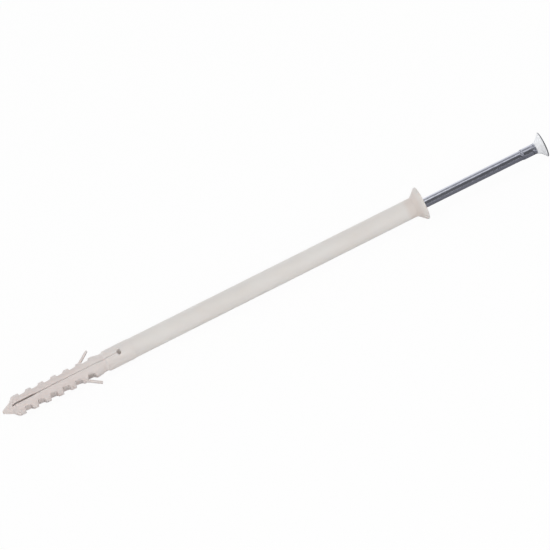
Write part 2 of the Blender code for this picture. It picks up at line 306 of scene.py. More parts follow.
class Graph:
    """A node tree that is being wired."""

    def __init__(self, tree: bpy.types.NodeTree) -> None:
        """Start on an empty tree.

        Args:
            tree: The tree of a material, world or group.
        """
        self.tree = tree
        tree.nodes.clear()

    def add(self, kind: str, inputs: dict[str, object] | None = None, **settings: object) -> bpy.types.Node:
        """Add a node.

        Args:
            kind: The node's type, without ShaderNode in front.
            inputs: For each input, a value or a socket to take it from.
            settings: Settings of the node itself.

        Returns:
            The new node.
        """
        prefix = "" if kind.startswith("NodeGroup") else "ShaderNode"
        node = self.tree.nodes.new(prefix + kind)
        for name, value in settings.items():
            setattr(node, name, value)
        for name, value in (inputs or {}).items():
            self.feed(node, name, value)
        return node

    def feed(self, node: bpy.types.Node, name: str | int, value: object) -> None:
        """Set an input of a node, or join it to a socket.

        Args:
            node: The node.
            name: The input's name or number.
            value: A plain value or another node's output.
        """
        socket = node.inputs[name]
        if isinstance(value, bpy.types.NodeSocket):
            self.tree.links.new(value, socket)
        elif isinstance(value, tuple) and len(value) == 3 and socket.type == "RGBA":
            socket.default_value = (*value, 1.0)
        else:
            socket.default_value = value

    def math(self, operation: str, first: object, second: object = 0.0) -> bpy.types.NodeSocket:
        """Work out one number from two.

        Args:
            operation: The Math node's name for what it does.
            first: A number or a socket.
            second: A number or a socket, unused where the operation takes one.

        Returns:
            The result's socket.
        """
        node = self.add("Math", operation=operation)
        self.feed(node, 0, first)
        self.feed(node, 1, second)
        return node.outputs[0]

    def mix(self, share: object, first: object, second: object, blend: str = "MIX") -> bpy.types.NodeSocket:
        """Mix two colours. The Mix node keeps them on its inputs 6 and 7 and its output 2.

        Args:
            share: How much of the second one shows.
            first: A colour or a socket.
            second: A colour or a socket.
            blend: The Mix node's name for the way that they mix.

        Returns:
            The mixed colour's socket.
        """
        node = self.add("Mix", data_type="RGBA", blend_type=blend)
        self.feed(node, 0, share)
        self.feed(node, 6, first)
        self.feed(node, 7, second)
        return node.outputs[2]

    def ranged(
        self, value: object, low: float, high: float, start: object, end: object
    ) -> bpy.types.NodeSocket:
        """Carry a value from the range low to high over to start to end, and give the socket."""
        inputs = {"Value": value, "From Min": low, "From Max": high, "To Min": start, "To Max": end}
        return self.add("MapRange", inputs).outputs[0]

    def own_axis(self, axis: str) -> bpy.types.NodeSocket:
        """Give the distance along one of the piece's own axes, in metres."""
        place = self.add("Attribute", attribute_name=OWN_PLACE).outputs["Vector"]
        return self.add("SeparateXYZ", {0: place}).outputs[axis]

    def own_radius(self) -> bpy.types.NodeSocket:
        """Measure how far a point is from the piece's own Z axis.

        Returns:
            The distance's socket, in metres.
        """
        place = self.add("Attribute", attribute_name=OWN_PLACE).outputs["Vector"]
        level = self.add("VectorMath", {0: place, 1: (1.0, 1.0, 0.0)}, operation="MULTIPLY").outputs[0]
        return self.add("VectorMath", {0: level}, operation="LENGTH").outputs["Value"]

    def group(self, group: bpy.types.NodeTree, **values: float) -> bpy.types.NodeSocket:
        """Place a group with values of its own.

        Args:
            group: The group.
            values: For each input, in small letters, its value.

        Returns:
            The socket of the group's one output.
        """
        node = self.add("Group", node_tree=group)
        for name, value in values.items():
            self.feed(node, name.replace("_", " ").title(), value)
        return node.outputs[0]


class EffectGroups:
    """The shader node groups that more than one finish uses, each built once."""

    def __init__(self) -> None:
        """Build the groups."""
        self.grain = self.stretched_noise("surface_grain", "Grain", 2.0)
        self.patches = self.stretched_noise("cloudy_patches", "Patches", 3.0)
        self.scratches = self.scratch_lines()

    @staticmethod
    def start(name: str, inputs: dict[str, float], output: str) -> tuple[Graph, bpy.types.Node]:
        """Make a group with named inputs and one named output.

        Args:
            name: The group's name.
            inputs: Each input's name and usual value.
            output: The output's name.

        Returns:
            The group's graph and its input node.
        """
        tree = bpy.data.node_groups.new(name, "ShaderNodeTree")
        for label, value in inputs.items():
            socket = tree.interface.new_socket(name=label, in_out="INPUT", socket_type="NodeSocketFloat")
            socket.default_value = value
        tree.interface.new_socket(name=output, in_out="OUTPUT", socket_type="NodeSocketFloat")
        graph = Graph(tree)
        return graph, graph.add("NodeGroupInput")

    def stretched_noise(self, name: str, output: str, detail: float) -> bpy.types.NodeTree:
        """Noise that can be drawn out along the piece, such as mould grain or drawing lines.

        Args:
            name: The group's name.
            output: The output's name.
            detail: How many finer layers the noise has.

        Returns:
            The group.
        """
        graph, given = self.start(name, {"Scale": 1000.0, "Stretch": 1.0, "Contrast": 1.0}, output)
        place = graph.add("Attribute", attribute_name=OWN_PLACE).outputs["Vector"]
        shrink = graph.math("DIVIDE", 1.0, given.outputs["Stretch"])
        scaled = graph.add("CombineXYZ", {"X": 1.0, "Y": 1.0, "Z": shrink}).outputs[0]
        drawn = graph.add("VectorMath", {0: place, 1: scaled}, operation="MULTIPLY").outputs[0]
        noise = graph.add("TexNoise", {"Vector": drawn, "Scale": given.outputs["Scale"], "Detail": detail})
        centred = graph.math("SUBTRACT", noise.outputs[0], 0.5)
        raised = graph.math("MULTIPLY", centred, given.outputs["Contrast"])
        shown = graph.add("Clamp", {"Value": graph.math("ADD", raised, 0.5)}).outputs[0]
        graph.add("NodeGroupOutput", {output: shown})
        return graph.tree

    def scratch_lines(self) -> bpy.types.NodeTree:
        """Thin scattered lines across the piece, from handling.

        Returns:
            The group.
        """
        inputs = {"Scale": 300.0, "Width": 0.02, "Amount": 0.5}
        graph, given = self.start("handling_scratches", inputs, "Scratches")
        place = graph.add("Attribute", attribute_name=OWN_PLACE).outputs["Vector"]
        slant = {"Vector": place, "Rotation": (0.5, 0.9, 0.3), "Scale": (1.0, 0.12, 1.0)}
        slanted = graph.add("Mapping", slant).outputs[0]
        cells = graph.add(
            "TexVoronoi", {"Vector": slanted, "Scale": given.outputs["Scale"]},
            feature="DISTANCE_TO_EDGE",
        )
        near = graph.math("LESS_THAN", cells.outputs[0], given.outputs["Width"])
        where = graph.add("TexNoise", {"Vector": place, "Scale": 160.0, "Detail": 1.0})
        kept = graph.math("LESS_THAN", where.outputs[0], given.outputs["Amount"])
        graph.add("NodeGroupOutput", {"Scratches": graph.math("MULTIPLY", near, kept)})
        return graph.tree


def new_material(name: str) -> tuple[bpy.types.Material, Graph, bpy.types.Node]:
    """Make a material with an output node.

    Args:
        name: The material's name.

    Returns:
        The material, its graph and its output node.
    """
    material = bpy.data.materials.new(name)
    material.use_nodes = True
    graph = Graph(material.node_tree)
    return material, graph, graph.add("OutputMaterial")


@dataclass(frozen=True)
class NylonFinish:
    """Off-white moulded satin nylon with faint flow clouds, a fine mould grain, painted shade next to the
    collar and a painted glow inside the oval hole.
    """

    light: Colour = (0.755, 0.736, 0.718)
    deep: Colour = (0.712, 0.676, 0.648)
    tip_tint: Colour = (0.96, 0.905, 0.905)
    tip_zone: Span = (0.032, 0.062)
    # Painted shade: the barrel's end next to the collar and the collar's flare are darker and warmer, and
    # the collar's rim a little.
    collar_painted_shade: Colour = (0.93, 0.89, 0.872)
    collar_zone: Span = (0.1722, 0.1740)
    collar_end: Span = (0.1776, 0.1788)
    collar_end_share: float = 0.3
    # Painted light: the bore's wall inside the oval hole glows faintly.
    hole_glow: Colour = (0.098, 0.089, 0.084)
    hole_place: float = 0.0498
    hole_reach: Span = (0.0012, 0.0018)
    hole_radius: Span = (0.0031, 0.0034)
    sheen: float = 0.35
    sheen_roughness: float = 0.35
    roughness: Span = (0.36, 0.50)
    rough_patches: Span = (0.0, 0.6)
    refraction: float = 1.53
    scatter: float = 0.3
    scatter_radius: Colour = (1.2, 1.0, 0.9)
    grain_height: float = 0.000006
    scratch_depth: float = 1.4

    def material(self, groups: EffectGroups) -> bpy.types.Material:
        """Make the material.

        Args:
            groups: The shared effects.

        Returns:
            The material.
        """
        material, graph, output = new_material("moulded_nylon")
        clouds = graph.group(groups.patches, scale=95.0, stretch=2.5, contrast=1.7)
        grain = graph.group(groups.grain, scale=5200.0, stretch=1.0, contrast=1.6)
        scratches = graph.group(groups.scratches, scale=420.0, width=0.012, amount=0.42)
        plain = graph.mix(clouds, self.light, self.deep)
        along = graph.own_axis("Z")
        near_tip = graph.ranged(along, *self.tip_zone, 1.0, 0.0)
        colour = graph.mix(near_tip, plain, graph.mix(1.0, plain, self.tip_tint, "MULTIPLY"))
        # Painted shade: darken and warm the colour next to the collar, fully over the flare and a little on
        # the collar's rim.
        flare = graph.math("MULTIPLY", graph.ranged(along, *self.collar_zone, 0.0, 1.0),
                           graph.ranged(along, *self.collar_end, 1.0, self.collar_end_share))
        colour = graph.mix(flare, colour, graph.mix(1.0, colour, self.collar_painted_shade, "MULTIPLY"))
        # Painted light: a faint glow on the bore's wall inside the oval hole, in place of light that comes
        # through the thin nylon.
        from_hole = graph.math("ABSOLUTE", graph.math("SUBTRACT", along, self.hole_place))
        inside = graph.math("MULTIPLY", graph.ranged(from_hole, *self.hole_reach, 1.0, 0.0),
                            graph.ranged(graph.own_radius(), *self.hole_radius, 1.0, 0.0))
        glow = graph.mix(inside, (0.0, 0.0, 0.0), self.hole_glow)
        height = graph.math("SUBTRACT", grain, graph.math("MULTIPLY", scratches, self.scratch_depth))
        bump = graph.add("Bump", {"Height": height, "Distance": self.grain_height, "Strength": 1.0})
        rough = graph.ranged(graph.math("MULTIPLY", clouds, grain), *self.rough_patches, *self.roughness)
        shader = graph.add("BsdfPrincipled", {
            "Base Color": colour, "Roughness": rough, "Normal": bump.outputs[0], "IOR": self.refraction,
            "Subsurface Weight": self.scatter, "Subsurface Radius": self.scatter_radius,
            "Subsurface Scale": MM, "Sheen Weight": self.sheen, "Sheen Roughness": self.sheen_roughness,
            "Emission Color": glow, "Emission Strength": 1.0,
        })
        graph.feed(output, "Surface", shader.outputs[0])
        return material


@dataclass(frozen=True)
class ZincFinish:
    """Bright zinc plating over drawn wire: long fine lines, soft clouds and small nicks, a painted
    highlight near the plug's collar and a painted reflection under the head.
    """

    bright: Colour = (0.84, 0.865, 0.94)
    dull: Colour = (0.545, 0.56, 0.65)
    roughness: Span = (0.11, 0.22)
    worn_span: Span = (0.2, 0.8)
    line_height: float = 0.000006
    ripple_height: float = 0.00003
    # Painted reflection: the head's underside is near-white, with little metal and more roughness, so it
    # looks as bright as what it mirrors.
    cone_zone: Span = (0.1743, 0.1748)
    cone_painted_reflection: Colour = (0.93, 0.945, 0.975)
    cone_roughness: float = 0.40
    cone_metal: float = 0.2
    rim_zone: Span = (0.17750, 0.17762)
    rim_radius: Span = (0.00470, 0.00478)
    rim_colour: Colour = (0.20, 0.205, 0.22)
    top_zone: Span = (0.17788, 0.17794)
    recess_zone: Span = (0.1750, 0.1765)
    recess_radius: Span = (0.0020, 0.0026)
    recess_edge: float = 0.0001
    # Painted highlight: along this zone the shank turns from its plated colours to the dull one.
    painted_highlight_fade_zone: Span = (0.126, 0.152)
    painted_highlight_fade_share: Span = (0.1, 0.8)
    mark_zones: tuple[Span, ...] = ((0.1680, 0.1692), (0.1730, 0.1742))
    mark_height: float = 0.0006
    mark_scale: float = 1100.0

    def material(self, groups: EffectGroups) -> bpy.types.Material:
        """Make the material.

        Args:
            groups: The shared effects.

        Returns:
            The material.
        """
        material, graph, output = new_material("zinc_plating")
        lines = graph.group(groups.grain, scale=3600.0, stretch=60.0, contrast=2.4)
        clouds = graph.group(groups.patches, scale=700.0, stretch=3.0, contrast=2.6)
        scratches = graph.group(groups.scratches, scale=520.0, width=0.02, amount=0.46)
        worn = graph.math("MULTIPLY", graph.math("ADD", lines, clouds), 0.5)
        ripples = graph.group(groups.grain, scale=1500.0, stretch=2.0, contrast=1.6)
        along = graph.own_axis("Z")
        away, under = graph.own_radius(), graph.ranged(along, *self.top_zone, 1.0, 0.0)
        # Painted reflection: mask of the head's underside, outside the recess, that takes the near-white
        # colour.
        cone = graph.math("MULTIPLY", under, graph.ranged(along, *self.cone_zone, 0.0, 1.0))
        recess = graph.ranged(along, *self.recess_zone, *self.recess_radius)
        outer = graph.ranged(graph.math("SUBTRACT", away, recess), 0.0, self.recess_edge, 0.0, 1.0)
        cone = graph.math("MULTIPLY", cone, outer)
        rim = graph.math("MULTIPLY", under, graph.ranged(along, *self.rim_zone, 0.0, 1.0))
        rim = graph.math("MULTIPLY", rim, graph.ranged(away, *self.rim_radius, 0.0, 1.0))
        shank = graph.mix(worn, self.dull, self.bright)
        # Painted highlight: the shank is paler near the plug's collar and turns dull towards the head, like
        # a highlight that weakens along the nail.
        painted_highlight_fade = graph.ranged(along, *self.painted_highlight_fade_zone, *self.painted_highlight_fade_share)
        shank = graph.mix(painted_highlight_fade, shank, self.dull)
        colour = graph.mix(rim, graph.mix(cone, shank, self.cone_painted_reflection), self.rim_colour)
        height = graph.math("SUBTRACT", lines, scratches)
        ripples = graph.math("ADD", ripples, self.form_marks(graph, along))
        wavy = graph.add("Bump", {"Height": ripples, "Distance": self.ripple_height, "Strength": 1.0})
        bump = graph.add("Bump", {
            "Height": height, "Distance": self.line_height, "Strength": 1.0, "Normal": wavy.outputs[0]})
        plain = graph.ranged(worn, *self.worn_span, self.roughness[1], self.roughness[0])
        rough = graph.ranged(cone, 0.0, 1.0, plain, self.cone_roughness)
        # Painted reflection: the head's underside takes little metal.
        painted_reflection_mask = graph.math("MULTIPLY", cone, graph.math("SUBTRACT", 1.0, rim))
        shader = graph.add("BsdfPrincipled", {
            "Base Color": colour, "Metallic": graph.ranged(painted_reflection_mask, 0.0, 1.0, 1.0, self.cone_metal),
            "Roughness": rough, "Normal": bump.outputs[0],
        })
        graph.feed(output, "Surface", shader.outputs[0])
        return material

    def form_marks(self, graph: Graph, along: bpy.types.NodeSocket) -> bpy.types.NodeSocket:
        """Make the small dents that the heading tool leaves round the shank under the head.

        Args:
            graph: The material's graph.
            along: The distance along the nail.

        Returns:
            The marks' height, as a share of the ripples' height.
        """
        place = graph.add("Attribute", attribute_name=OWN_PLACE).outputs["Vector"]
        dents = graph.add("TexVoronoi", {"Vector": place, "Scale": self.mark_scale}).outputs["Distance"]
        total = 0.0
        for low, high in self.mark_zones:
            middle, half = (low + high) / 2, (high - low) / 2
            away = graph.math("ABSOLUTE", graph.math("SUBTRACT", along, middle))
            total = graph.math("ADD", graph.ranged(away, 0.5 * half, half, 1.0, 0.0), total)
        marks = graph.math("MULTIPLY", dents, total)
        return graph.math("MULTIPLY", marks, self.mark_height / self.ripple_height)


@dataclass(frozen=True)
class PaperFinish:
    """White studio paper: white to the camera and in reflections, with a faint shadow.

    Its own light shows only to those rays, so the fixing gets none of it but what it mirrors.
    """

    colour: Colour = (0.93, 0.93, 0.93)
    own_light: float = 0.94

    def material(self) -> bpy.types.Material:
        """Make the material.

        Returns:
            The material.
        """
        material, graph, output = new_material("studio_paper")
        path = graph.add("LightPath")
        seen = graph.math("MAXIMUM", path.outputs["Is Camera Ray"], path.outputs["Is Glossy Ray"])
        seen = graph.math("MAXIMUM", seen, path.outputs["Is Transmission Ray"])
        paper = graph.add("BsdfDiffuse", {"Color": self.colour})
        white = graph.add("Emission", {"Color": (1.0, 1.0, 1.0), "Strength": 1.0})
        share = graph.math("MULTIPLY", seen, self.own_light)
        mixed = graph.add("MixShader", {0: share, 1: paper.outputs[0], 2: white.outputs[0]})
        graph.feed(output, "Surface", mixed.outputs[0])
        return material


@dataclass(frozen=True)
class CardFinish:
    """Dark grey card."""

    colour: Colour = (0.27, 0.27, 0.285)

    def material(self) -> bpy.types.Material:
        """Make the material.

        Returns:
            The material.
        """
        material, graph, output = new_material("grey_card")
        card = graph.add("BsdfDiffuse", {"Color": self.colour})
        graph.feed(output, "Surface", card.outputs[0])
        return material


# The fixing


@dataclass(frozen=True)
class Lie:
    """How the fixing lies on the floor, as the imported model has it."""

    tip: Place = (-0.1160163, 0.0, 0.0040647)
    dip: float = math.radians(0.8106572)
    roll: float = math.radians(32.4384137)

    def plug(self) -> Matrix:
        """Work out the place of the plug's own axes.

        Returns:
            The place, with its origin at the plug's tip.
        """
        lying = Matrix.Rotation(math.radians(90), 4, "Z") @ Matrix.Rotation(math.radians(90), 4, "X")
        turn = Matrix.Rotation(-self.dip, 4, "Y") @ Matrix.Rotation(self.roll, 4, "X") @ lying
        return Matrix.Translation(self.tip) @ turn

    def nail(self, point: float, direction: Vector) -> Matrix:
        """Work out the place of the nail's own axes.

        Args:
            point: How far the nail's point is from the plug's tip, in millimetres.
            direction: The way that the nail points, from its point to its head.

        Returns:
            The place, with its origin at the nail's point.
        """
        plug = self.plug()
        start = plug @ Vector((0.0, 0.0, point * MM))
        leaning = plug.to_3x3().inverted() @ direction
        lean = Vector((0.0, 0.0, 1.0)).rotation_difference(leaning).to_matrix()
        return Matrix.Translation(start) @ (plug.to_3x3() @ lean).to_4x4()


@dataclass
class ExpansionPlug:
    """The nylon moulding: tip, toothed and slit legs, barbs, waist, shoulder, barrel and collar.

    Sizes are in millimetres. slit_mouth gives runs past the slit's start and the share of its
    width there. leg_rings and barrel_rings give the first plain ring, from the start of the slit
    or the end of it, and the gap to the next; barrel_rings also stop short of the collar's face.
    """

    length: float = 180.0
    barrel_front: float = 7.9
    barrel_neck: float = 7.8
    shoulder: float = 8.2
    shoulder_length: float = 11.0
    waist: float = 7.2
    waist_length: float = 3.7
    step_run: float = 0.8
    waist_run: float = 2.2
    nose_radius: float = 0.86
    cone_length: float = 3.4
    cone_diameter: float = 4.3
    tip_flare: float = 2.6
    teeth: int = 7
    pitch: float = 5.34
    crest: float = 8.3
    first_land: float = 2.1
    land: float = 1.6
    tooth_edge: float = 0.18
    back_depth: float = 1.68
    front_depth: float = 1.45
    back_run: float = 0.22
    ramp_run: float = 0.75
    slit_start: float = 4.3
    slit_mouth: tuple[Point, ...] = ((0.0, 0.0), (0.03, 0.6), (0.07, 0.82), (0.12, 0.95), (0.2, 1.0))
    slit_width: float = 0.68
    slit_wide_length: float = 8.1
    slit_taper: float = 2.4
    slit_knee: float = 0.26
    slit_fade: float = 11.5
    slit_narrow: float = 0.045
    hole_place: float = 49.8
    hole_length: float = 1.6
    hole_width: float = 2.4
    barb_tooth: int = 6
    barb_span: float = 14.7
    barb_angle: float = math.radians(34)
    barb_root: float = 0.95
    barb_tip: float = 0.80
    barb_width: float = 1.6
    barb_inset: float = 0.15
    barb_sink: float = 1.2
    barb_steps: int = 10
    barb_edge: float = 0.11
    barb_edge_turn: float = math.radians(40)
    collar: float = 13.2
    collar_rim: float = 0.85
    collar_edge: float = 0.12
    flare_length: float = 3.2
    flare_curve: float = 1.2
    flare_ease: float = 0.4
    bore: float = 5.67
    bore_share: float = 0.51
    bore_corner: float = 0.1
    bore_corner_steps: int = 2
    leg_bore: float = 2.6
    leg_bore_lead: float = 0.9
    leg_bore_end: float = 56.39
    bore_start: float = 59.96
    seat: float = 11.4
    seat_rim: float = 0.4
    seat_depth: float = 4.019
    seat_edge: float = 0.08
    corner: float = 0.20
    tooth_round: float = 0.26
    tooth_round_steps: int = 5
    groove_blend: float = 0.16
    groove_overrun: float = 0.8
    groove_level: float = 0.02
    slit_edge: float = 0.35
    slit_edge_drop: float = 0.8
    seam_height: float = 0.035
    seam_width: float = 0.10
    seam_ends: Span = (1.0, 1.2)
    nose_steps: int = 12
    tip_steps: int = 16
    flare_steps: int = 24
    hole_steps: int = 14
    leg_steps: int = 60
    leg_rings: Span = (0.6, 0.7)
    barrel_rings: tuple[float, float, float] = (1.0, 2.5, 5.0)
    least_ring_gap: float = 0.012
    inner_ring_gap: float = 0.02
    edge_columns: tuple[float, ...] = (0.0, 0.02, 0.06, 0.12, 0.20, 0.29, 0.38)
    seam_columns: tuple[float, ...] = (0.0, 0.05, 0.1)
    inner_column_step: int = 3
    crisp_turn: float = math.radians(38)
    piece: bpy.types.Object | None = field(default=None, init=False)

    @property
    def crest_start(self) -> float:
        """Where the tip's flare reaches the first crest."""
        return self.cone_length + self.tip_flare

    @property
    def first_groove(self) -> float:
        """Where the first groove starts."""
        return self.crest_start + self.first_land

    @property
    def teeth_end(self) -> float:
        """Where the last tooth ends."""
        return self.first_groove + (self.teeth - 1) * self.pitch

    @property
    def slit_end(self) -> float:
        """Where the oval hole, and with it the slit, ends."""
        return self.hole_place + self.hole_length / 2

    def outside(self) -> list[Point]:
        """Draw the outer outline from the tip to the collar's face.

        Returns:
            Its points, as (radius, height).
        """
        nose, cone = self.nose_radius, self.cone_diameter / 2
        reach = math.hypot(cone, self.cone_length - nose)
        lean = math.atan2(cone, self.cone_length - nose)
        turn = math.pi - lean - math.acos(nose / reach)
        arc = [turn * index / self.nose_steps for index in range(self.nose_steps + 1)]
        points = [(nose * math.sin(a), nose * (1 - math.cos(a))) for a in arc]
        points.append((cone, self.cone_length))
        slope = (points[-1][0] - points[-2][0]) / (points[-1][1] - points[-2][1])
        rise = self.crest / 2 - cone
        for index in range(1, self.tip_steps + 1):
            share = index / self.tip_steps
            lead = share * (1 - share) ** 2 * slope * self.tip_flare
            radius = cone + rise * share**2 * (3 - 2 * share) + lead
            points.append((radius, self.cone_length + self.tip_flare * share))
        waist_end = self.teeth_end + self.waist_length
        shoulder_end = waist_end + self.shoulder_length
        rim, step = self.length - self.collar_rim, self.step_run / 2
        body = [
            (self.crest / 2, self.teeth_end - step),
            (self.waist / 2, self.teeth_end + self.waist_run),
            (self.waist / 2, waist_end - step),
            (self.shoulder / 2, waist_end + step),
            (self.shoulder / 2, shoulder_end - step),
            (self.barrel_front / 2, shoulder_end + step),
        ]
        neck, top = (self.barrel_neck / 2, rim - self.flare_length), (self.collar / 2, rim)
        flare = [
            (neck[0] + (radius - neck[0]) * (1 - math.exp((neck[1] - height) / self.flare_ease)), height)
            for radius, height in power_curve(neck, top, self.flare_curve, self.flare_steps)
        ]
        edge = [
            (self.collar / 2, self.length - self.collar_edge),
            (self.collar / 2 - self.collar_edge, self.length),
        ]
        whole = rounded([points[-1], *body, *flare, *edge, (self.seat / 2, self.length)], self.corner)
        return points[:-1] + whole[:-1]

    def inside(self) -> list[Point]:
        """Draw the bore's outline from its blind end to the edge of the head's seat.

        Returns:
            Its points, as (radius, height).
        """
        start = self.slit_start
        steps = [
            (0.0, start),
            (self.leg_bore / 2, start + self.leg_bore_lead),
            (self.leg_bore / 2, self.leg_bore_end),
            (self.bore / 2, self.bore_start),
            (self.bore / 2, self.length - self.seat_depth),
            (self.seat / 2, self.length - self.seat_rim),
            (self.seat / 2, self.length - self.seat_edge),
            (self.seat / 2 + self.seat_edge, self.length),
        ]
        return rounded(steps, self.bore_corner, self.bore_corner_steps)

    def groove_floor(self) -> list[Point]:
        """Draw the floors of the grooves between the teeth.

        Returns:
            Their points, as (distance from the plug's middle, height).
        """
        brink, lift = self.crest / 2 - self.tooth_edge, self.tooth_edge + self.groove_overrun
        points: list[Point] = []
        for tooth in range(self.teeth - 1):
            start = self.first_groove + self.tooth_edge + tooth * self.pitch
            end = start + self.pitch - self.land - 2 * self.tooth_edge
            groove = [
                (brink + lift, start - lift),
                (brink, start),
                (self.crest / 2 - self.back_depth, start + self.back_run),
                (self.crest / 2 - self.front_depth, end - self.ramp_run),
                (brink, end),
                (brink + lift, end + lift),
            ]
            points += rounded(groove, self.tooth_round, self.tooth_round_steps)
        return points

    def slit_gap(self, heights: np.ndarray) -> np.ndarray:
        """Give the slit's width at each height, the oval hole included.

        Args:
            heights: Distances from the tip.

        Returns:
            The widths, 0 where the plug is whole.
        """
        start, wide = self.slit_start, self.slit_width
        taper = start + self.slit_wide_length
        knee = taper + self.slit_taper
        places = [start + run for run, _ in self.slit_mouth]
        places += [taper, knee, knee + self.slit_fade, self.slit_end]
        widths = [share * wide for _, share in self.slit_mouth]
        widths += [wide, self.slit_knee, self.slit_narrow, self.slit_narrow]
        slit = np.where(heights < self.hole_place, np.interp(heights, places, widths), 0.0)
        run = (heights - self.hole_place) / (self.hole_length / 2)
        hole = self.hole_width * np.sqrt(np.clip(1 - run**2, 0.0, 1.0))
        whole = (heights <= start) | (heights >= self.slit_end)
        return np.where(whole, 0.0, np.maximum(slit, hole))

    def heights(self) -> np.ndarray:
        """Choose the heights of the rings, close where the form turns and wide on the plain barrel.

        Returns:
            The heights, rising from the tip.
        """
        marks = [point[1] for point in self.outside()]
        marks += [point[1] for point in self.groove_floor() if point[1] > self.crest_start]
        start = self.slit_start
        marks += [start + run for run, _ in self.slit_mouth]
        marks.append(self.slit_end)
        turns = [math.pi * index / self.hole_steps for index in range(self.hole_steps + 1)]
        marks += [self.hole_place + self.hole_length / 2 * math.cos(turn) for turn in turns]
        marks += list(np.arange(start + self.leg_rings[0], self.slit_end, self.leg_rings[1]))
        first, gap, last = self.barrel_rings
        marks += list(np.arange(self.slit_end + first, self.length - last, gap))
        ordered = sorted(marks)
        kept = [ordered[0]]
        fixed = {start, self.slit_end, self.length}
        for mark in ordered[1:]:
            if mark - kept[-1] > self.least_ring_gap:
                kept.append(mark)
            elif mark in fixed:
                kept[-1] = mark
        return np.array(kept)

    def columns(self) -> np.ndarray:
        """Choose the places of the columns round one leg, close at the slit and at the seam.

        Returns:
            The places, from one slit face (-1) over the barb's side (0) to the other (1).
        """
        quarter = self.crest * math.pi / 4
        edge = [1 - distance / quarter for distance in self.edge_columns]
        seam = [distance / quarter for distance in self.seam_columns]
        plain = [edge[-1] * 2 * index / self.leg_steps for index in range(1, self.leg_steps // 2)]
        half = sorted(set(seam + plain + edge))
        return np.array([-share for share in reversed(half[1:])] + half)

    def skin(self) -> bpy.types.Mesh:
        """Build the moulding without its barbs, as one closed mesh.

        Returns:
            The mesh.
        """
        heights, columns = self.heights(), self.columns()
        gap = self.slit_gap(heights)
        outline = np.array(self.outside())
        radius = np.interp(heights, outline[:, 1], outline[:, 0])
        half = gap[:, None] / 2
        spread = math.pi / 2 - np.arcsin(np.clip(half / np.maximum(radius[:, None], TINY), 0.0, 1.0))
        angle = columns[None, :] * spread
        distance = (1 - np.abs(columns[None, :])) * spread * radius[:, None]
        edge = np.clip(1 - distance / self.slit_edge, 0.0, 1.0)
        opened = np.clip(gap[:, None] / self.slit_narrow, 0.0, 1.0)
        seam = np.exp(-((angle * radius[:, None] / (self.seam_width / 2)) ** 2))
        seam_start, seam_end = self.teeth_end + self.seam_ends[0], self.length - self.seam_ends[1]
        plain = ((heights > seam_start) & (heights < seam_end))[:, None]
        dropped = self.slit_edge * self.slit_edge_drop * (1 - np.sqrt(1 - edge**2)) * opened
        change = self.seam_height * seam * plain - dropped
        floor = np.array(self.groove_floor())
        flat = np.interp(heights, floor[:, 1], floor[:, 0], left=FAR_OFF, right=FAR_OFF)
        cut = flat[:, None] / np.maximum(np.cos(angle), self.groove_level)
        around = soft_minimum(radius[:, None] + 0 * angle, cut, self.groove_blend)
        outer = (heights, angle, around + change)
        inner_marks = np.array([point[1] for point in self.inside()])
        inner_heights = np.concatenate([
            heights[(heights >= self.slit_start) & (heights <= self.slit_end)],
            inner_marks[inner_marks > self.slit_end + self.inner_ring_gap],
        ])
        inner_gap = self.slit_gap(inner_heights)
        lining = np.array(self.inside())
        bore = np.interp(inner_heights, lining[:, 1], lining[:, 0])
        bore = np.maximum(bore, self.bore_share * inner_gap)
        between = range(2, len(columns) - 2, self.inner_column_step)
        narrow = columns[sorted({0, len(columns) - 1, *between})]
        inner_spread = math.pi / 2 - np.arcsin(
            np.clip(inner_gap / 2 / np.maximum(bore, TINY), 0.0, 1.0))
        inner_angle = narrow[None, :] * inner_spread[:, None]
        inner = (inner_heights, inner_angle, bore[:, None] + 0 * inner_angle)
        return self.close_skin(outer, inner, columns, narrow)

    def close_skin(
        self, outer: Grid, inner: Grid, columns: np.ndarray, narrow: np.ndarray
    ) -> bpy.types.Mesh:
        """Join the outer and inner grids of both legs by the slit's faces and the collar's face.

        Args:
            outer: Heights, angles and radii of a leg's outside.
            inner: Heights, angles and radii of the bore.
            columns: Places of the outer columns.
            narrow: Places of the inner columns.

        Returns:
            The closed mesh.
        """
        points: list[np.ndarray] = []
        faces: list[tuple[int, ...]] = []
        count = 0
        for side in Side:
            grids = []
            for heights, angle, radius in (outer, inner):
                across = side.value * radius * np.cos(angle)
                along = radius * np.sin(angle)
                raised = heights[:, None] + 0 * angle
                points.append(np.stack([across, along, raised], axis=2).reshape(-1, 3))
                grids.append(count + np.arange(angle.size).reshape(angle.shape))
                count += angle.size
            for grid in grids:
                corners = (grid[:-1, :-1], grid[:-1, 1:], grid[1:, 1:], grid[1:, :-1])
                faces += [tuple(quad) for quad in np.stack(corners, axis=2).reshape(-1, 4).tolist()]
            first = int(np.searchsorted(outer[0], self.slit_start - TINY))
            last = int(np.searchsorted(outer[0], self.slit_end - TINY))
            for end in (0, -1):
                for row in range(first, last):
                    faces.append((
                        int(grids[0][row, end]), int(grids[0][row + 1, end]),
                        int(grids[1][row + 1 - first, end]), int(grids[1][row - first, end]),
                    ))
            matches = [int(np.argmin(np.abs(columns - place))) for place in narrow]
            for index in range(len(narrow) - 1):
                rim = [int(i) for i in grids[0][-1, matches[index]:matches[index + 1] + 1]]
                faces.append((*rim, int(grids[1][-1, index + 1]), int(grids[1][-1, index])))
        return mesh_from("plug_moulding", np.concatenate(points), faces)

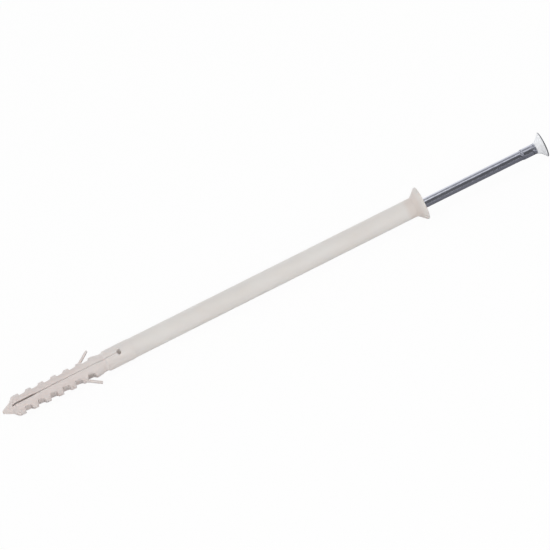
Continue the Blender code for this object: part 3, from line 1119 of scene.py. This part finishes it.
    def barb(self, side: Side) -> bpy.types.Object:
        """Build one swept-back barb with softened edges.

        Args:
            side: The side of the plug that it stands on.

        Returns:
            The barb, in the plug's own axes.
        """
        along = Vector((math.sin(self.barb_angle), math.cos(self.barb_angle)))
        across = Vector((along.y, -along.x))
        rear = self.first_groove + (self.barb_tooth - 1) * self.pitch
        root = Vector((self.crest / 2 - self.barb_inset, rear)) - along * self.barb_sink
        reach = (self.barb_span / 2 - self.barb_tip / 2 * across.x - root.x) / along.x
        shape = bmesh.new()
        rings = []
        for index in range(self.barb_steps + 1):
            share = index / self.barb_steps
            middle = root + along * (reach * share)
            half = (self.barb_root + (self.barb_tip - self.barb_root) * share) / 2
            ring = []
            for turn, depth in ((-1, -1), (1, -1), (1, 1), (-1, 1)):
                spot = middle + across * (half * turn)
                width = self.barb_width / 2 * depth
                ring.append(shape.verts.new((side.value * spot.x * MM, width * MM, spot.y * MM)))
            rings.append(ring)
        for low, high in zip(rings, rings[1:]):
            for corner in range(4):
                after = (corner + 1) % 4
                shape.faces.new((low[corner], low[after], high[after], high[corner]))
        shape.faces.new(rings[0])
        shape.faces.new(list(reversed(rings[-1])))
        bmesh.ops.recalc_face_normals(shape, faces=shape.faces)
        sharp = [edge for edge in shape.edges if edge.calc_face_angle(0.0) > self.barb_edge_turn]
        soften(shape, sharp, self.barb_edge)
        mesh = bpy.data.meshes.new(f"barb_{side.name.lower()}")
        shape.to_mesh(mesh)
        shape.free()
        return new_piece(mesh.name, mesh)

    def build(self, lie: Lie) -> bpy.types.Object:
        """Build the moulding and lay it in place.

        Args:
            lie: How the fixing lies.

        Returns:
            The piece.
        """
        self.piece = new_piece("plug_moulding", self.skin())
        combine(self.piece, [self.barb(side) for side in Side], Joining.ADD)
        smooth(self.piece, self.crisp_turn)
        settle(self.piece, lie.plug())
        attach(self.piece, Body.PLUG.value)
        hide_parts("expansion_plug")
        return self.piece

    def dress(self, finish: bpy.types.Material) -> None:
        """Give the moulding its finish.

        Args:
            finish: The nylon material.
        """
        self.piece.data.materials.clear()
        self.piece.data.materials.append(finish)


@dataclass
class DriveNail:
    """The steel nail: point, shank, grip zone and countersunk head with a cross recess.

    Sizes are in millimetres. Outside the core, the plain stretches have a ring at every ring_gap
    or so.
    """

    length: float = 178.0
    stands_out: float = 52.0
    shank: float = 3.87
    point_length: float = 4.5
    point_flat: float = 0.3
    grip: float = 4.3
    grip_length: float = 6.0
    grip_step: float = 0.9
    head: float = 10.0
    cone_length: float = 3.6
    cone_curve: float = 1.7
    cone_steps: int = 20
    rim: float = 0.4
    top_edge: float = 0.12
    corner: float = 0.14
    recess_span: float = 5.4
    recess_floor_span: float = 3.0
    recess_wing: float = 1.2
    recess_floor_wing: float = 0.8
    recess_core: float = 3.0
    recess_floor_core: float = 1.6
    recess_depth: float = 2.7
    recess_point: float = 0.3
    recess_edge: float = 0.16
    recess_above: float = 1.0
    recess_sides: int = 48
    sides: int = 112
    core: float = 0.5
    ring_gap: float = 4.0
    crisp_turn: float = math.radians(32)
    piece: bpy.types.Object | None = field(default=None, init=False)

    @property
    def recess_growth(self) -> float:
        """How far the recess's helpers widen up to their tops, as a share of the widening to the rim."""
        return (self.recess_depth + self.recess_above) / self.recess_depth

    def outline(self) -> list[Point]:
        """Draw the nail's outline from the axis at its point to the axis at its top.

        Returns:
            Its points, as (radius, height).
        """
        cone_top = self.length - self.rim
        neck = cone_top - self.cone_length
        grip = neck - self.grip_length
        below, above = (self.grip / 2, neck), (self.head / 2, cone_top)
        flare = power_curve(below, above, self.cone_curve, self.cone_steps)
        steps = [
            (0.0, 0.0),
            (self.point_flat, 0.0),
            (self.shank / 2, self.point_length),
            (self.shank / 2, grip),
            (self.grip / 2, grip + self.grip_step),
            *flare,
            (self.head / 2, self.length - self.top_edge),
            (self.head / 2 - self.top_edge, self.length),
            (0.0, self.length),
        ]
        return rounded(steps, self.corner)

    def body(self) -> bpy.types.Mesh:
        """Turn the nail's body, with rings enough along its plain shank.

        Returns:
            The mesh.
        """
        outline: list[Point] = []
        points = self.outline()
        for start, end in zip(points, points[1:]):
            outside = min(start[0], end[0]) > self.core
            pieces = max(1, round(math.dist(start, end) / self.ring_gap)) if outside else 1
            outline += power_curve(start, end, 1, pieces)[:-1]
        outline.append(points[-1])
        return turned("nail_body", outline, self.sides)

    def recess_blade(self, name: str, turn: float) -> bpy.types.Object:
        """Build one tapered blade of the cross recess.

        Args:
            name: The helper's name.
            turn: How far it is turned about the nail's axis.

        Returns:
            The helper.
        """
        shape = bmesh.new()
        bmesh.ops.create_cube(shape, size=1.0)
        for vertex in shape.verts:
            raised = vertex.co.z > 0
            grown = self.recess_growth if raised else 0.0
            span = self.recess_floor_span + (self.recess_span - self.recess_floor_span) * grown
            wing = self.recess_floor_wing + (self.recess_wing - self.recess_floor_wing) * grown
            height = self.length + (self.recess_above if raised else -self.recess_depth)
            vertex.co = Vector((vertex.co.x * span, vertex.co.y * wing, height)) * MM
        upright = [edge for edge in shape.edges if abs(edge.verts[0].co.z - edge.verts[1].co.z) > MM]
        soften(shape, upright, self.recess_edge)
        mesh = bpy.data.meshes.new(name)
        shape.to_mesh(mesh)
        shape.free()
        blade = new_piece(name, mesh)
        blade.matrix_world = Matrix.Rotation(turn, 4, "Z")
        return blade

    def recess_middle(self) -> bpy.types.Object:
        """Build the tapered middle of the cross recess.

        Returns:
            The helper.
        """
        wide = self.recess_floor_core + (self.recess_core - self.recess_floor_core) * self.recess_growth
        floor, top = self.length - self.recess_depth, self.length + self.recess_above
        outline = [(0.0, floor - self.recess_point), (self.recess_floor_core / 2, floor),
                   (wide / 2, top), (0.0, top)]
        return new_piece("recess_middle", turned("recess_middle", outline, self.recess_sides))

    def build(self, lie: Lie, plug: ExpansionPlug, direction: Vector) -> bpy.types.Object:
        """Build the nail and lay it in place.

        Args:
            lie: How the fixing lies.
            plug: The plug that it stands in.
            direction: The way that the nail points, from its point to its head.

        Returns:
            The piece.
        """
        self.piece = new_piece("nail_body", self.body())
        blades = [self.recess_blade(f"recess_blade_{i + 1}", math.radians(90) * i) for i in range(2)]
        bpy.context.view_layer.update()
        combine(self.piece, [self.recess_middle(), *blades], Joining.CUT)
        smooth(self.piece, self.crisp_turn)
        point = plug.length + self.stands_out - self.length
        settle(self.piece, lie.nail(point, direction))
        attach(self.piece, Body.NAIL.value)
        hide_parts("drive_nail")
        return self.piece

    def dress(self, finish: bpy.types.Material) -> None:
        """Give the nail its finish.

        Args:
            finish: The zinc material.
        """
        self.piece.data.materials.clear()
        self.piece.data.materials.append(finish)


# The studio


@dataclass(frozen=True)
class Lamp:
    """A soft square lamp that faces the fixing and makes no highlight of its own."""

    name: str
    place: Place
    size: float
    power: float
    colour: Colour

    def build(self) -> None:
        """Hang the lamp."""
        light = bpy.data.lights.new(self.name, "AREA")
        light.size = self.size
        light.energy = self.power
        light.color = self.colour
        lamp = bpy.data.objects.new(self.name, light)
        bpy.context.scene.collection.objects.link(lamp)
        lamp.location = self.place
        lamp.rotation_euler = Vector(self.place).to_track_quat("Z", "Y").to_euler()
        lamp.visible_glossy = False
        lamp.visible_camera = False


@dataclass
class Studio:
    """A white floor, a soft sky with a bright strip overhead, soft lamps and a dark card.

    The sky's bands give a place, from the front over the top (0.5) to the back, and a strength.
    """

    floor_half: float = 40.0
    sky: tuple[Point, ...] = (
        (0.0, 0.20), (0.218, 0.12), (0.373, 0.14), (0.433, 0.7), (0.478, 1.5), (0.523, 0.6), (0.583, 0.30),
        (0.703, 0.38), (0.828, 0.95), (1.0, 1.3),
    )
    lamps: tuple[Lamp, ...] = (
        Lamp("front_lamp", (0.15, -2.32, 1.69), 2.2, 45.2, (1.0, 0.987, 0.97)),
        Lamp("end_lamp", (-2.6, -0.96, 0.84), 1.6, 13.0, (1.0, 0.98, 0.965)),
        Lamp("top_lamp", (0.2, 0.72, 2.65), 2.0, 7.5, (0.92, 0.965, 1.0)),
    )
    card_low: Point = (-0.30, -0.30)
    card_high: Point = (0.30, 0.012)
    card_height: float = 0.0001

    def plane(self, name: str, low: Point, high: Point, height: float) -> bpy.types.Object:
        """Build a flat stage piece.

        Args:
            name: Its name.
            low: Its lowest X and Y.
            high: Its highest X and Y.
            height: Its height.

        Returns:
            The piece.
        """
        corners = [(low[0], low[1]), (high[0], low[1]), (high[0], high[1]), (low[0], high[1])]
        mesh = bpy.data.meshes.new(name)
        mesh.from_pydata([(x, y, height) for x, y in corners], [], [(0, 1, 2, 3)])
        piece = new_piece(name, mesh)
        return piece

    def show_in_reflections(self, piece: bpy.types.Object) -> None:
        """Let a stage piece be seen in reflections only.

        Args:
            piece: The piece.
        """
        piece.visible_camera = False
        piece.visible_diffuse = False
        piece.visible_shadow = False
        piece.visible_transmission = False

    def build(self) -> None:
        """Build the floor, the card, the lamps and the sky."""
        half = self.floor_half
        floor = self.plane("floor", (-half, -half), (half, half), 0.0)
        floor.data.materials.append(PaperFinish().material())
        card = self.plane("grey_card", self.card_low, self.card_high, self.card_height)
        card.data.materials.append(CardFinish().material())
        self.show_in_reflections(card)
        for lamp in self.lamps:
            lamp.build()
        self.build_sky()

    def build_sky(self) -> None:
        """Make the sky: bands from the dark front over the bright strip overhead to the pale back.

        The camera itself sees plain white there.
        """
        world = bpy.data.worlds.new("studio_sky")
        bpy.context.scene.world = world
        world.use_nodes = True
        graph = Graph(world.node_tree)
        way = graph.add("SeparateXYZ", {0: graph.add("TexCoord").outputs["Generated"]})
        front = graph.math("MULTIPLY", way.outputs["Y"], -1.0)
        turn = graph.math("ARCTAN2", way.outputs["Z"], front)
        share = graph.math("DIVIDE", turn, math.pi)
        ramp = graph.add("ValToRGB", {0: share})
        bands = ramp.color_ramp
        bands.interpolation = "B_SPLINE"
        top = max(level for _, level in self.sky)
        for index, (place, level) in enumerate(self.sky):
            stop = bands.elements[index] if index < 2 else bands.elements.new(place)
            stop.position = place
            stop.color = (level / top, level / top, level / top, 1.0)
        studio = graph.add("Background", {"Color": ramp.outputs[0], "Strength": top})
        white = graph.add("Background", {"Color": (1.0, 1.0, 1.0), "Strength": 1.0})
        camera = graph.add("LightPath").outputs["Is Camera Ray"]
        mixed = graph.add("MixShader", {0: camera, 1: studio.outputs[0], 2: white.outputs[0]})
        graph.add("OutputWorld", {"Surface": mixed.outputs[0]})


@dataclass(frozen=True)
class PictureCamera:
    """A long lens that looks down on the fixing, turned so that the head stands at the upper right."""

    azimuth: float = math.radians(-8.9248)
    elevation: float = math.radians(41.2098)
    roll: float = math.radians(-20.0967)
    aim: Place = (0.000773, 0.000343, 0.006090)
    distance: float = 3.0
    lens: float = 514.0
    sensor: float = 36.0
    clip: Span = (0.1, 200.0)

    def build(self) -> None:
        """Place the camera and make it the scene's own."""
        level = math.cos(self.elevation)
        back = Vector((
            math.sin(self.azimuth) * level, -math.cos(self.azimuth) * level, math.sin(self.elevation)))
        flat_right = Vector((math.cos(self.azimuth), math.sin(self.azimuth), 0.0))
        flat_up = back.cross(flat_right)
        right = flat_right * math.cos(self.roll) + flat_up * math.sin(self.roll)
        turn = Matrix((right, back.cross(right), back)).transposed().to_4x4()
        data = bpy.data.cameras.new("picture_camera")
        data.lens, data.sensor_width = self.lens, self.sensor
        data.clip_start, data.clip_end = self.clip
        camera = bpy.data.objects.new("picture_camera", data)
        bpy.context.scene.collection.objects.link(camera)
        camera.matrix_world = Matrix.Translation(Vector(self.aim) + back * self.distance) @ turn
        bpy.context.scene.camera = camera


def report(piece: bpy.types.Object) -> None:
    """Log what a piece measures.

    Args:
        piece: The piece.
    """
    size = [round(side / MM, 2) for side in piece.dimensions]
    LOG.info("%s: %d faces, %s mm", piece.name, len(piece.data.polygons), size)


def main() -> None:
    """Build the camera, the fixing and the studio in order."""
    logging.basicConfig(level=logging.INFO, format="%(message)s")
    bpy.context.scene.view_settings.view_transform = "Standard"
    PictureCamera().build()
    groups = EffectGroups()
    lie = Lie()
    plug = ExpansionPlug()
    report(plug.build(lie))
    plug.dress(NylonFinish().material(groups))
    direction = -Vector(frame["joints"][0]["axis"]).normalized()
    nail = DriveNail()
    report(nail.build(lie, plug, direction))
    nail.dress(ZincFinish().material(groups))
    Studio().build()


if __name__ == "__main__":
    main()
